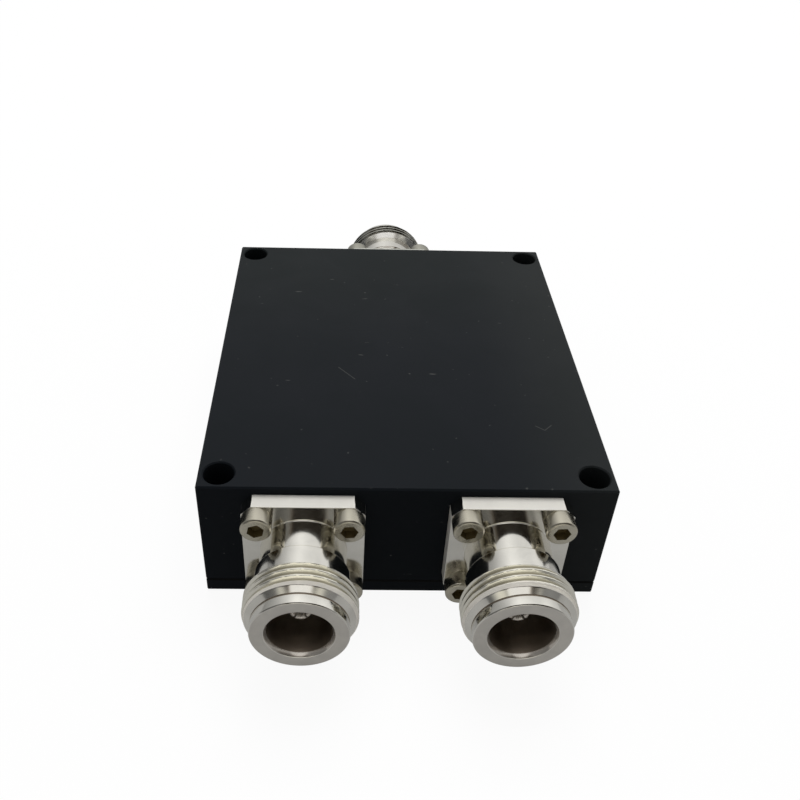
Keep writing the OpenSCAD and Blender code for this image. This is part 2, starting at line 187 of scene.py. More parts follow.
class SplitterContactSettings(bpy.types.PropertyGroup):
    """Sizes and finish of the insulators and the slotted centre contacts."""
    insulator_r: length("Insulator radius", "Radius of the insulator", 3.5 * MM)
    collar_r: length("Collar radius", "Radius of the trapped collar", 4.2 * MM)
    collar_t: length("Collar thickness", "Thickness of the trapped collar", 1.2 * MM)
    wall: length("Wall", "Thickness of the wall behind the jack", 6 * MM)
    fit: length("Fit", "Clearance on the radius of pressed parts", 0.02 * MM)
    socket_r: length("Socket radius", "Outer radius of the spring socket", 1.52 * MM)
    socket_bore_r: length("Socket bore", "Radius of the bore of the socket", 0.83 * MM)
    socket_bore_l: length("Socket depth", "Depth of the bore of the socket", 5 * MM)
    socket_tip: length("Socket tip", "Tip of the socket, from the housing", 13.65 * MM)
    slot_w: length("Slot width", "Width of the spring slots", 0.35 * MM)
    slot_l: length("Slot length", "Length of the spring slots", 4 * MM)
    tip_break: length("Tip edge", "Broken edge at the tip", 0.2 * MM)
    pin_r: length("Pin radius", "Radius of the solder pin", 0.65 * MM)
    pin_l: length("Pin length", "Length of the solder pin behind the face of the housing", 8.5 * MM)
    plastic: colour("Insulator", "Colour of the insulator", (0.80, 0.78, 0.72))
    silver: colour("Contact", "Colour of the contact's plating", (0.88, 0.84, 0.77))


class SplitterScrewSettings(bpy.types.PropertyGroup):
    """Sizes and finish of the socket head screws of the flanges."""
    shank_r: length("Shank radius", "Radius of the shank", 1.25 * MM)
    shank_l: length("Shank length", "Length under the head", 6 * MM)
    head_r: length("Head radius", "Radius of the head", 2.2 * MM)
    head_h: length("Head height", "Height of the head", 2.5 * MM)
    head_break: length("Head edge", "Broken edge of the head", 0.25 * MM)
    hex_w: length("Hexagon", "Width across the flats of the socket", 2.2 * MM)
    hex_l: length("Hexagon depth", "Depth of the socket", 1.3 * MM)
    steel: colour("Steel", "Colour of the screws", (0.60, 0.565, 0.465))
    # Painted shade inside the hex sockets
    painted_shade: colour("Socket", "Colour inside the sockets", (0.21, 0.16, 0.07))


class SplitterCircuitSettings(bpy.types.PropertyGroup):
    """Finish of the divider circuit inside the box."""
    laminate: colour("Laminate", "Colour of the board", (0.62, 0.58, 0.44))
    copper: colour("Copper", "Colour of the printed conductor", (0.80, 0.46, 0.27))
    ceramic: colour("Resistor", "Colour of the chip resistors", (0.020, 0.021, 0.024))
    solder: colour("Solder", "Colour of the solder", (0.62, 0.62, 0.61))


class SplitterStageSettings(bpy.types.PropertyGroup):
    """Camera, light and floor."""
    camera_at: bpy.props.FloatVectorProperty(
        name="Camera place", description="Place of the camera", size=3, precision=5,
        default=(-10.0974 * MM, -123.0798 * MM, 107.4327 * MM), unit="LENGTH", subtype="TRANSLATION")
    camera_turn: bpy.props.FloatVectorProperty(
        name="Camera turn", description="Turn about Z, dip below the horizon and roll", size=3,
        default=(math.radians(-1.8231), math.radians(38.0739), math.radians(1.8915)),
        unit="ROTATION", subtype="EULER")
    lens: bpy.props.FloatProperty(
        name="Lens", description=f"Focal length in millimetres on a sensor of {SENSOR}",
        default=39.1637, min=1.0, unit="CAMERA")
    shift: bpy.props.FloatVectorProperty(
        name="Shift", description="Shift of the lens, in widths of the picture", size=2,
        default=(0.0499, -0.0036), precision=5)
    white: colour("White", "Colour of the plain light", (1.0, 1.0, 1.0))
    warm: colour("Warm", "Colour of the light from low in front", (1.0, 0.965, 0.82))
    brown: colour("Brown", "Colour of the dim light from in front", (1.0, 0.74, 0.52))
    floor: colour("Floor", "Colour of the floor", (0.58, 0.58, 0.58))
    floor_size: length("Floor size", "Width of the floor", 6.0)
    whiteness: share("Whiteness", "Share of plain white in the floor that the camera sees", 0.93)
    reflected: share("Reflected light", "Brightness of the floor that metal reflects", 0.37)
    glow: share("Glow", "Share of that brightness in what metal reflects of the floor", 0.75)
    ambient: share("Ambient", "Light that comes from all around", 0.34, 2.0)


# Modelling

def pick(piece):
    """Makes a piece the only selected one."""
    bpy.ops.object.select_all(action="DESELECT")
    piece.select_set(True)
    bpy.context.view_layer.objects.active = piece


def named(name):
    """Names the object that an operator has just made, and its mesh."""
    piece = bpy.context.object
    piece.name = name
    piece.data.name = name
    return piece


def eased(corners, steps=3):
    """Outline points from corners (radius, height, ease), each rounded over its ease."""
    points = []
    for index, (radius, height, ease) in enumerate(corners):
        corner = Vector((radius, height))
        if ease == 0:
            points.append(corner)
            continue
        start = corner + ease * (Vector(corners[index - 1][:2]) - corner).normalized()
        end = corner + ease * (Vector(corners[(index + 1) % len(corners)][:2]) - corner).normalized()
        for step in range(steps + 1):
            t = step / steps
            points.append((1 - t) ** 2 * start + 2 * t * (1 - t) * corner + t ** 2 * end)
    return points


def refined(points, low, high, gap):
    """The same outline with more points between two heights, at most a gap apart."""
    finer = [points[0]]
    for start, end in zip(points, points[1:]):
        inside = min(start.y, end.y) >= low and max(start.y, end.y) <= high
        parts = math.ceil((end - start).length / gap) if inside else 1
        finer += [start.lerp(end, (part + 1) / parts) for part in range(parts)]
    return finer


def turned(name, outline, steps):
    """A solid of revolution about Z from an outline of (radius, height) points."""
    bpy.ops.object.select_all(action="DESELECT")
    bpy.ops.mesh.primitive_plane_add(size=MM)
    piece = named(name)
    bpy.ops.object.mode_set(mode="EDIT")
    bpy.ops.mesh.select_mode(type="VERT")
    bpy.ops.mesh.select_all(action="SELECT")
    bpy.ops.mesh.merge(type="CENTER")
    bpy.ops.transform.translate(value=(outline[0].x, 0, outline[0].y))
    for start, end in zip(outline, outline[1:]):
        step = end - start
        bpy.ops.mesh.extrude_region_move(TRANSFORM_OT_translate={"value": (step.x, 0, step.y)})
    bpy.ops.mesh.select_all(action="SELECT")
    bpy.ops.mesh.spin(steps=steps, angle=math.tau, center=(0, 0, 0), axis=(0, 0, 1))
    bpy.ops.mesh.select_all(action="SELECT")
    bpy.ops.mesh.remove_doubles(threshold=WELD)
    bpy.ops.mesh.normals_make_consistent(inside=False)
    bpy.ops.object.mode_set(mode="OBJECT")
    return piece


def select_edges(piece, wanted):
    """Opens a piece in edit mode with the edges selected whose two ends pass a test."""
    bpy.ops.object.mode_set(mode="EDIT")
    bpy.ops.mesh.select_mode(type="EDGE")
    bpy.ops.mesh.select_all(action="DESELECT")
    bpy.ops.object.mode_set(mode="OBJECT")
    for edge in piece.data.edges:
        edge.select = wanted(*(piece.data.vertices[index].co for index in edge.vertices))
    bpy.ops.object.mode_set(mode="EDIT")


def combine(piece, tool, operation):
    """Cuts a piece with a tool, or joins it to the tool, and removes the tool."""
    pick(piece)
    modifier = piece.modifiers.new("combine", "BOOLEAN")
    modifier.object = tool
    modifier.operation = operation
    modifier.solver = "EXACT"
    bpy.ops.object.modifier_apply(modifier=modifier.name)
    bpy.data.objects.remove(tool)


def smoothed(piece, angle):
    """Shades a piece smooth up to an angle, with its flats kept flat."""
    pick(piece)
    bpy.ops.object.shade_smooth_by_angle(angle=math.radians(angle))
    modifier = piece.modifiers.new("even_shading", "WEIGHTED_NORMAL")
    modifier.keep_sharp = True
    bpy.ops.object.modifier_apply(modifier=modifier.name)


def keep_local(piece):
    """Stores where each point lies on the lathe, for finishes that follow the turning."""
    places = piece.data.attributes.new(LOCAL, "FLOAT_VECTOR", "POINT")
    for vertex, place in zip(piece.data.vertices, places.data):
        place.vector = vertex.co


def port_place(port):
    """The place of a port: +Z outwards along its axis from the face of the housing, and +Y up."""
    low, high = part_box(port + "_connector_body")
    middle = (low + high) / 2
    at_back = middle.y > (BOX_LOW.y + BOX_HIGH.y) / 2
    face_y = low.y if at_back else high.y
    turn = Matrix.Rotation(math.pi if at_back else 0, 4, "Z") @ Matrix.Rotation(math.pi / 2, 4, "X")
    return Matrix.Translation((middle.x, face_y, middle.z)) @ turn


def coat(piece, *materials):
    """Gives a piece its materials, in the order of its slots."""
    piece.data.materials.clear()
    for material in materials:
        piece.data.materials.append(material)


def set_on_ports(master, suffix, node_suffix, quarter_turns=(0, 0, 0)):
    """Sets a copy of a jack's piece on each port, in place of the solid of the same piece."""
    for port, quarters in zip(PORTS, quarter_turns):
        pick(master)
        bpy.ops.object.duplicate()
        piece = named(port + "_" + suffix)
        piece.matrix_world = port_place(port) @ Matrix.Rotation(quarters * math.pi / 2, 4, "Z")
        bpy.ops.object.transform_apply(location=True, rotation=True, scale=True)
        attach(piece, BODY)
        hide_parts(port + "_" + node_suffix)
    bpy.data.objects.remove(master)


# Node helpers

def put(tree, kind, inputs=None, **settings):
    """Adds a node, sets its settings and sets or links its inputs."""
    node = tree.nodes.new(kind)
    for key, value in settings.items():
        setattr(node, key, value)
    for key, value in (inputs or {}).items():
        if isinstance(value, bpy.types.NodeSocket):
            tree.links.new(value, node.inputs[key])
        else:
            node.inputs[key].default_value = value
    return node


def maths(tree, operation, *values, clamp=False):
    """The result of a math node."""
    node = put(tree, "ShaderNodeMath", dict(enumerate(values)), operation=operation, use_clamp=clamp)
    return node.outputs[0]


def vector_maths(tree, operation, *values, result="Vector"):
    """The result of a vector math node."""
    node = put(tree, "ShaderNodeVectorMath", dict(enumerate(values)), operation=operation)
    return node.outputs[result]


def product(tree, first, *others):
    """Values multiplied together."""
    for value in others:
        first = maths(tree, "MULTIPLY", first, value)
    return first


def ranged(tree, value, low, high, to_low=0.0, to_high=1.0):
    """A value moved smoothly from one range to another."""
    inputs = {"Value": value, "From Min": low, "From Max": high, "To Min": to_low, "To Max": to_high}
    return put(tree, "ShaderNodeMapRange", inputs, interpolation_type="SMOOTHSTEP").outputs["Result"]


def mixed(tree, factor, first, second):
    """Two colours mixed by a factor."""
    node = put(tree, "ShaderNodeMix", {0: factor, 6: first, 7: second}, data_type="RGBA")
    return node.outputs[2]


def full(colour_value, brightness=1.0):
    """A colour with its alpha, made darker where asked."""
    return (*(brightness * channel for channel in colour_value), 1.0)


def effect(name, inputs, output):
    """A new node group with a vector and other named inputs and one value as its output."""
    tree = bpy.data.node_groups.new(name, "ShaderNodeTree")
    tree.interface.new_socket("Vector", in_out="INPUT", socket_type="NodeSocketVector")
    for label, kind, default in inputs:
        socket = tree.interface.new_socket(label, in_out="INPUT", socket_type=kind)
        socket.default_value = default
    tree.interface.new_socket(output, in_out="OUTPUT", socket_type="NodeSocketFloat")
    entry = tree.nodes.new("NodeGroupInput").outputs
    leave = tree.nodes.new("NodeGroupOutput").inputs
    return tree, entry, leave


def use(tree, name, build, inputs):
    """The output of a node group, which is built the first time that it is used."""
    group = bpy.data.node_groups.get(name) or build(name)
    return put(tree, "ShaderNodeGroup", inputs, node_tree=group).outputs[0]


def build_grain(name):
    """Fine even grain, as blasting, etching or moulding leaves."""
    tree, entry, leave = effect(name, [("Size", FLOAT, 0.1 * MM)], "Height")
    scale = maths(tree, "DIVIDE", 1.0, entry["Size"])
    noise = put(tree, "ShaderNodeTexNoise", {
        "Vector": entry["Vector"], "Scale": scale, "Detail": 2.0, "Roughness": 0.6})
    tree.links.new(noise.outputs["Fac"], leave["Height"])
    return tree


def build_cloud(name):
    """Soft uneven patches, as handling and plating leave."""
    tree, entry, leave = effect(name, [("Size", FLOAT, 10 * MM)], "Tone")
    scale = maths(tree, "DIVIDE", 1.0, entry["Size"])
    noise = put(tree, "ShaderNodeTexNoise", {
        "Vector": entry["Vector"], "Scale": scale, "Detail": 4.0, "Roughness": 0.55, "Distortion": 0.4})
    tree.links.new(ranged(tree, noise.outputs["Fac"], 0.3, 0.7), leave["Tone"])
    return tree


def build_turning(name):
    """Rings that a lathe tool leaves around Z."""
    tree, entry, leave = effect(name, [("Feed", FLOAT, 0.1 * MM)], "Height")
    split = put(tree, "ShaderNodeSeparateXYZ", {0: entry["Vector"]}).outputs
    radius = maths(tree, "SQRT", maths(tree, "ADD", maths(tree, "MULTIPLY", split[0], split[0]),
                                       maths(tree, "MULTIPLY", split[1], split[1])))
    ring = put(tree, "ShaderNodeCombineXYZ", {0: radius, 1: split[2]}).outputs[0]
    scale = maths(tree, "DIVIDE", 1.0, entry["Feed"])
    noise = put(tree, "ShaderNodeTexNoise", {
        "Vector": ring, "Scale": scale, "Detail": 3.0, "Roughness": 0.7}, noise_dimensions="2D")
    tree.links.new(noise.outputs["Fac"], leave["Height"])
    return tree


def build_dust(name):
    """Sparse specks, fainter on upright faces than on those that look up."""
    tree, entry, leave = effect(name, [
        ("Spacing", FLOAT, 3 * MM), ("Speck", FLOAT, 0.15 * MM), ("Share", FLOAT, 0.5)], "Mask")
    scale = maths(tree, "DIVIDE", 1.0, entry["Spacing"])
    ripple = put(tree, "ShaderNodeTexNoise", {
        "Vector": entry["Vector"], "Scale": maths(tree, "DIVIDE", 0.5, entry["Speck"])})
    wobble = vector_maths(tree, "MULTIPLY_ADD", ripple.outputs["Color"],
                          (0.4 * MM,) * 3, entry["Vector"])
    cells = put(tree, "ShaderNodeTexVoronoi", {"Vector": wobble, "Scale": scale})
    chance = put(tree, "ShaderNodeSeparateColor", {0: cells.outputs["Color"]}).outputs
    # Each speck has its own chance, size and strength
    reach = maths(tree, "MULTIPLY", cells.outputs["Distance"], entry["Spacing"])
    size = maths(tree, "MULTIPLY", entry["Speck"], maths(tree, "ADD", 0.35, chance[1]))
    near = maths(tree, "SUBTRACT", 1.0, maths(tree, "DIVIDE", reach, size), clamp=True)
    lucky = maths(tree, "LESS_THAN", chance[0], entry["Share"])
    normal = put(tree, "ShaderNodeNewGeometry").outputs["Normal"]
    upward = ranged(tree, put(tree, "ShaderNodeSeparateXYZ", {0: normal}).outputs[2], 0.2, 0.8, 0.7)
    speck = maths(tree, "MULTIPLY", maths(tree, "MULTIPLY", near, lucky), upward)
    tree.links.new(maths(tree, "MULTIPLY", speck, maths(tree, "ADD", 0.3, chance[2]), clamp=True),
                   leave["Mask"])
    return tree


def build_scratch(name):
    """One fine straight mark between two points."""
    tree, entry, leave = effect(name, [
        ("Start", VECTOR, (0, 0, 0)), ("End", VECTOR, (0, 0, 0)), ("Width", FLOAT, 0.1 * MM)], "Mask")
    run = vector_maths(tree, "SUBTRACT", entry["End"], entry["Start"])
    reach = vector_maths(tree, "SUBTRACT", entry["Vector"], entry["Start"])
    along = maths(tree, "DIVIDE", vector_maths(tree, "DOT_PRODUCT", reach, run, result="Value"),
                  vector_maths(tree, "DOT_PRODUCT", run, run, result="Value"), clamp=True)
    foot = put(tree, "ShaderNodeVectorMath", {0: run, "Scale": along}, operation="SCALE").outputs[0]
    gap = vector_maths(tree, "DISTANCE", reach, foot, result="Value")
    tree.links.new(maths(tree, "SUBTRACT", 1.0, maths(tree, "DIVIDE", gap, entry["Width"]), clamp=True),
                   leave["Mask"])
    return tree


def grain(tree, vector, size):
    """Height of the fine grain."""
    return use(tree, "fine_grain", build_grain, {"Vector": vector, "Size": size})


def cloud(tree, vector, size):
    """Strength of the soft patches."""
    return use(tree, "soft_patches", build_cloud, {"Vector": vector, "Size": size})


def turning(tree, vector, feed):
    """Height of the turning marks."""
    return use(tree, "turning_marks", build_turning, {"Vector": vector, "Feed": feed})


def scratch(tree, vector, start, end, width):
    """Mask of one straight mark."""
    inputs = {"Vector": vector, "Start": start, "End": end, "Width": width}
    return use(tree, "straight_scratch", build_scratch, inputs)


def finish_material(name, **constants):
    """A new material with a Principled shader whose plain numbers are set on its own sockets."""
    material = bpy.data.materials.new(name)
    material.use_nodes = True
    tree = material.node_tree
    shader = tree.nodes["Principled BSDF"]
    for label, value in constants.items():
        shader.inputs[label.replace("_", " ").title().replace("Ior", "IOR")].default_value = value
    return material, tree, shader


def object_place(tree):
    """Coordinates in the frame of the part."""
    return tree.nodes.new("ShaderNodeTexCoord").outputs["Object"]


def lathe_place(tree):
    """Coordinates of a turned piece on the lathe."""
    return put(tree, "ShaderNodeAttribute", attribute_name=LOCAL).outputs["Vector"]


def dress(tree, shader, tone, roughness, height, strength):
    """Links colour, roughness and bump to a shader."""
    tree.links.new(tone, shader.inputs["Base Color"])
    tree.links.new(roughness, shader.inputs["Roughness"])
    bump = put(tree, "ShaderNodeBump", {"Height": height, "Strength": strength, "Distance": BUMP_DEPTH})
    tree.links.new(bump.outputs["Normal"], shader.inputs["Normal"])


# Finishes

def anodised(settings):
    """Black anodised aluminium with dust, one scratch and a lint mark on its top, painted sheen towards the
    back and painted light towards the right end.
    """
    material, tree, shader = finish_material("black_anodised", specular_ior_level=0.15)
    place = object_place(tree)
    patches = cloud(tree, place, settings.patch)
    sideways, backward, height = put(tree, "ShaderNodeSeparateXYZ", {0: place}).outputs
    # Painted sheen: the paler tone rises towards the back end, on top of the random soft patches
    rise = ranged(tree, backward, -0.2 * BOX_HIGH.y, BOX_HIGH.y, 0.0, settings.painted_back_sheen)
    paler = maths(tree, "MULTIPLY_ADD", patches, settings.patch_sheen, rise)
    tone = mixed(tree, paler, full(settings.black), full(settings.sheen))
    # Painted light: the skin is drawn paler towards the right end
    painted_right_light = ranged(tree, sideways, 0.4 * BOX_HIGH.x, BOX_HIGH.x, 0.0, settings.right_painted_light)
    tone = mixed(tree, painted_right_light, tone, full(settings.painted_light))
    from_seam = maths(tree, "ABSOLUTE", maths(tree, "SUBTRACT", height, BOX_LOW.z))
    seam = ranged(tree, from_seam, settings.seam_core, settings.seam_w, settings.seam_share, 0.0)
    tone = mixed(tree, seam, tone, full(settings.seam))
    # Lint is dust that is drawn out sideways
    lint_place = vector_maths(tree, "MULTIPLY", place, (0.3, 1.0, 1.0))
    specks, lint = [
        use(tree, "dust_specks", build_dust, {
            "Vector": vector, "Spacing": settings.spacing, "Speck": settings.speck, "Share": chance})
        for vector, chance in ((place, settings.specks), (lint_place, settings.lint))
    ]
    top = BOX_HIGH.z
    marks = [
        ((-10.1 * MM, -6.1 * MM, top), (-7.4 * MM, -9.3 * MM, top)),
        ((20.3 * MM, -20.7 * MM, top), (21.6 * MM, -21.7 * MM, top)),
        ((21.6 * MM, -21.7 * MM, top), (22.8 * MM, -20.5 * MM, top)),
    ]
    worn = maths(tree, "MAXIMUM", specks, lint)
    for start, end in marks:
        mark = scratch(tree, place, start, end, settings.scratch_w)
        worn = maths(tree, "MAXIMUM", worn, maths(tree, "MULTIPLY", mark, settings.marks))
    tone = mixed(tree, worn, tone, full(settings.dust))
    blast = grain(tree, place, settings.grain)
    facing = put(tree, "ShaderNodeNewGeometry").outputs["Normal"]
    upward = put(tree, "ShaderNodeSeparateXYZ", {0: facing}).outputs[2]
    smoother = ranged(tree, upward, 0.2, 0.8, 0.80, 0.50)
    roughness = maths(tree, "MULTIPLY_ADD", patches, 0.06, smoother)
    dress(tree, shader, tone, roughness, blast, strength=0.10)
    return material


def with_rear_shade(tree, tone, amount):
    """A plated tone with painted shade, darker on the rear jack than on the front ones."""
    backward = put(tree, "ShaderNodeSeparateXYZ", {0: object_place(tree)}).outputs[1]
    at_back = ranged(tree, backward, 0.0, BOX_HIGH.y, 0.0, amount)
    return mixed(tree, at_back, tone, full(bpy.context.scene.splitter_jack.rear_shade))


def plated(name, base, rough, rough_change, feed, strength, patch, metallic=1.0, rear_shade=0.0):
    """Plated metal that was turned on a lathe."""
    material, tree, shader = finish_material(name, metallic=metallic)
    place = lathe_place(tree)
    patches = cloud(tree, place, patch)
    rings = turning(tree, place, feed)
    tone = mixed(tree, patches, full(base, PLATE_SHADE), full(base))
    # Painted shade on the pieces at the rear
    if rear_shade:
        tone = with_rear_shade(tree, tone, rear_shade)
    roughness = maths(tree, "MULTIPLY_ADD", patches, rough_change, rough)
    dress(tree, shader, tone, roughness, rings, strength)
    return material


def threaded(jack):
    """Plated thread with painted shade and more roughness in its roots."""
    material, tree, shader = finish_material("thread_nickel", metallic=1.0)
    place = lathe_place(tree)
    flat = vector_maths(tree, "MULTIPLY", place, (1.0, 1.0, 0.0))
    depth = maths(tree, "SUBTRACT", jack.thread_r, vector_maths(tree, "LENGTH", flat, result="Value"))
    # Painted shade: the thread is drawn darker deep in its grooves
    deep = ranged(tree, depth, 0.35 * jack.thread_depth, 0.65 * jack.thread_depth)
    patches = cloud(tree, place, 3 * MM)
    crests = mixed(tree, patches, full(jack.thread, PLATE_SHADE), full(jack.thread))
    tone = with_rear_shade(tree, mixed(tree, deep, crests, full(jack.root)), 0.6)
    roughness = maths(tree, "MULTIPLY_ADD", deep, 0.25, 0.14)
    dress(tree, shader, tone, roughness, turning(tree, place, 0.12 * MM), strength=0.03)
    return material


def grained(name, base, rough, size, patch, **constants):
    """A plain material with fine grain and soft patches."""
    material, tree, shader = finish_material(name, **constants)
    place = object_place(tree)
    patches = cloud(tree, place, patch)
    tone = mixed(tree, patches, full(base, GRAIN_SHADE), full(base))
    roughness = maths(tree, "MULTIPLY_ADD", patches, 0.12, rough)
    dress(tree, shader, tone, roughness, grain(tree, place, size), strength=0.12)
    return material


def paint_nodes(material, *names):
    """Gives solids of the packed model a material."""
    for name in names:
        coat(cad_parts[name], material)


# Operators

class SPLITTER_OT_box(bpy.types.Operator):
    """Give the housing and its bottom cover their black anodised skin"""
    bl_idname = "splitter.box"
    bl_label = "Box"

    def execute(self, context):
        paint_nodes(anodised(context.scene.splitter_box), "housing", "bottom_cover")
        return {"FINISHED"}


class SPLITTER_OT_jack_bodies(bpy.types.Operator):
    """Turn the jack body with its thread, join it to its flange and set one on each port"""
    bl_idname = "splitter.jack_bodies"
    bl_label = "Jack Bodies"

    ease = 0.12 * MM
    sink = 0.02 * MM
    row_gap = 0.04 * MM
    steps = 240
    fillet_steps = 5
    hole_steps = 96
    smooth_angle = 50
    # Shares of a turn of the thread: where it begins, the flat of its crest and the flat of its root
    thread_turn = 0.29
    thread_crest = 0.20
    thread_root = 0.12

    def outside(self, jack):
        """Outside of the turned body, from inside the flange to the front rim."""
        foot = jack.neck_r + jack.neck_fillet
        ease = self.ease
        turns = [math.radians(90 * step / self.fillet_steps) for step in range(self.fillet_steps + 1)]
        fillet = [
            Vector((foot - jack.neck_fillet * math.sin(turn), jack.flange_t - self.sink / 2
                    + jack.neck_fillet * (1 - math.cos(turn))))
            for turn in turns
        ]
        shaft = eased([
            (jack.neck_r, jack.flange_t + jack.neck_fillet, 0),
            (jack.neck_r, jack.neck_end, ease),
            (jack.barrel_r, jack.shoulder_end, ease),
            (jack.barrel_r, jack.barrel_end, ease / 3),
            (jack.thread_r, jack.thread_start, ease),
            (jack.thread_r, jack.thread_end, ease),
            (jack.nose_r, jack.nose_end, ease),
            (jack.pilot_r - jack.relief, jack.pilot_start, jack.relief / 3),
            (jack.pilot_r - jack.relief, jack.pilot_start + jack.relief, jack.relief / 3),
            (jack.pilot_r, jack.pilot_start + 2 * jack.relief, jack.relief / 3),
            (jack.pilot_r, jack.pilot_end, ease / 2),
            (jack.rim_r, jack.body_l, ease / 2),
            (jack.mouth_r, jack.body_l, ease),
            (jack.throat_r, jack.body_l - jack.mouth_edge_l, 0),
        ])
        shaft = refined(shaft[1:-1], jack.barrel_end - ease, jack.pilot_start + ease, self.row_gap)
        return [Vector((foot, jack.flange_t / 2))] + fillet + shaft

    def inside(self, jack, contact):
        """Bore, from behind the mouth to the recess of the insulator's collar."""
        throat_top = jack.body_l - jack.mouth_edge_l
        insulator = contact.insulator_r + contact.fit
        collar = contact.collar_r + contact.fit
        return eased([
            (jack.throat_r, throat_top, 0),
            (jack.bore_r, throat_top - jack.throat_l, 0),
            (jack.bore_r, jack.bore_end, 0),
            (insulator, jack.bore_end, 0),
            (insulator, contact.collar_t, 0),
            (collar, contact.collar_t, 0),
            (collar, self.sink, 0),
            (jack.neck_r - jack.neck_fillet, self.sink, 0),
            (jack.neck_r - jack.neck_fillet, jack.flange_t / 2, 0),
            (jack.neck_r + jack.neck_fillet, jack.flange_t / 2, 0),
        ])

    def cut_thread(self, piece, jack):
        """Presses in a right-hand V thread that fades out over the rounded front end."""
        crest, root = self.thread_crest, self.thread_root
        run_out = jack.nose_end - jack.thread_end
        for vertex in piece.data.vertices:
            radius = vertex.co.xy.length
            if radius < jack.barrel_r or not jack.barrel_end < vertex.co.z < jack.nose_end:
                continue
            turn = math.atan2(vertex.co.y, vertex.co.x) / math.tau
            phase = (vertex.co.z / jack.thread_pitch - turn + self.thread_turn) % 1.0
            flank = max(0.0, 1 - abs(2 * phase - 1) - crest) / (1 - crest - root)
            depth = jack.thread_depth * min(1.0, flank, (jack.nose_end - vertex.co.z) / run_out)
            vertex.co.xy *= min(radius, jack.thread_r - depth) / radius

    def finishes(self, jack):
        """Finishes of the body by name, in the order of its material slots."""
        return {
            "bright": plated("nickel_plate", jack.nickel, rough=0.10, rough_change=0.06,
                             feed=0.12 * MM, strength=0.03, patch=4 * MM),
            "rim": plated("satin_nickel", jack.satin, rough=0.34, rough_change=0.08,
                          feed=0.09 * MM, strength=0.25, patch=3 * MM),
            "milled": plated("milled_nickel", jack.milled, rough=0.46, rough_change=0.08,
                             feed=0.20 * MM, strength=0.15, patch=5 * MM, metallic=0.20, rear_shade=0.55),
            # Painted shade: the bore is a darker copy of the nickel
            "bore": plated("bore_painted_shade", jack.shade, rough=0.40, rough_change=0.10,
                           feed=0.10 * MM, strength=0.20, patch=3 * MM),
            "thread": threaded(jack),
            "mouth_edge": plated("edge_nickel", jack.edge, rough=0.14, rough_change=0.06,
                                 feed=0.10 * MM, strength=0.05, patch=3 * MM, metallic=0.65),
            # Painted light: the slope behind the thread is a paler, partly matt copy of the nickel
            "shoulder": plated("shoulder_nickel", jack.shoulder, rough=0.12, rough_change=0.05,
                               feed=0.12 * MM, strength=0.05, patch=3 * MM, metallic=0.70),
            # Painted light: the rounded front end of the thread is a pale, nearly matt copy of the nickel
            "nose": plated("nose_nickel", jack.nose, rough=0.34, rough_change=0.06,
                           feed=0.12 * MM, strength=0.05, patch=3 * MM, metallic=0.15),
        }

    def finish_of(self, mesh, face, jack):
        """Name of a face's finish, from its place on the body."""
        reach = max(mesh.vertices[index].co.xy.length for index in face.vertices)
        height = face.center.z
        edge_start = jack.body_l - jack.mouth_edge_l
        if height > jack.body_l - self.sink and reach > jack.mouth_r:
            return "rim"
        if height < jack.flange_t and max(map(abs, face.center.xy)) > jack.flange_w / 2 - self.sink:
            return "milled"
        if reach > jack.barrel_r + self.ease and jack.barrel_end < height < jack.nose_end:
            if height < jack.thread_start:
                return "shoulder"
            return "thread" if height < jack.thread_end else "nose"
        # Painted shade: the fine groove in front of the thread takes the dark bore finish
        if reach < jack.pilot_r and abs(height - jack.pilot_start - jack.relief / 2) < jack.relief:
            return "bore"
        if reach < jack.mouth_r + self.sink and height > edge_start:
            return "mouth_edge"
        return "bore" if reach < jack.throat_r + self.sink and height < edge_start else "bright"

    def flange(self, jack):
        """Square plate with cut corners, eased edges, four screw holes and an opening for the body."""
        bpy.ops.object.select_all(action="DESELECT")
        bpy.ops.mesh.primitive_cube_add(size=1, location=(0, 0, jack.flange_t / 2),
                                        scale=(jack.flange_w, jack.flange_w, jack.flange_t))
        plate = named("flange")
        bpy.ops.object.transform_apply(location=True, rotation=True, scale=True)
        select_edges(plate, lambda start, end: abs(start.z - end.z) > jack.flange_t / 2)
        bpy.ops.mesh.bevel(offset=jack.flange_corner, segments=1, affect="EDGES")
        bpy.ops.mesh.select_all(action="SELECT")
        bpy.ops.mesh.bevel(offset=jack.flange_edge, segments=3, affect="EDGES")
        bpy.ops.object.mode_set(mode="OBJECT")
        half = jack.flange_pitch / 2
        holes = [(sx * half, sy * half, jack.flange_hole_r) for sx in (-1, 1) for sy in (-1, 1)]
        for x, y, radius in holes + [(0, 0, jack.neck_r - 2 * jack.neck_fillet)]:
            bpy.ops.object.select_all(action="DESELECT")
            bpy.ops.mesh.primitive_cylinder_add(
                vertices=self.hole_steps, radius=radius, depth=3 * jack.flange_t, location=(x, y, 0))
            combine(plate, bpy.context.object, "DIFFERENCE")
        return plate

    def execute(self, context):
        jack = context.scene.splitter_jack
        contact = context.scene.splitter_contact
        outline = self.outside(jack) + self.inside(jack, contact)
        body = turned("jack_body", outline, self.steps)
        self.cut_thread(body, jack)
        combine(body, self.flange(jack), "UNION")
        smoothed(body, self.smooth_angle)
        keep_local(body)
        finishes = self.finishes(jack)
        coat(body, *finishes.values())
        order = list(finishes)
        for face in body.data.polygons:
            face.material_index = order.index(self.finish_of(body.data, face, jack))
        set_on_ports(body, "jack_body", "connector_body", quarter_turns=(1, 0, 1))
        return {"FINISHED"}


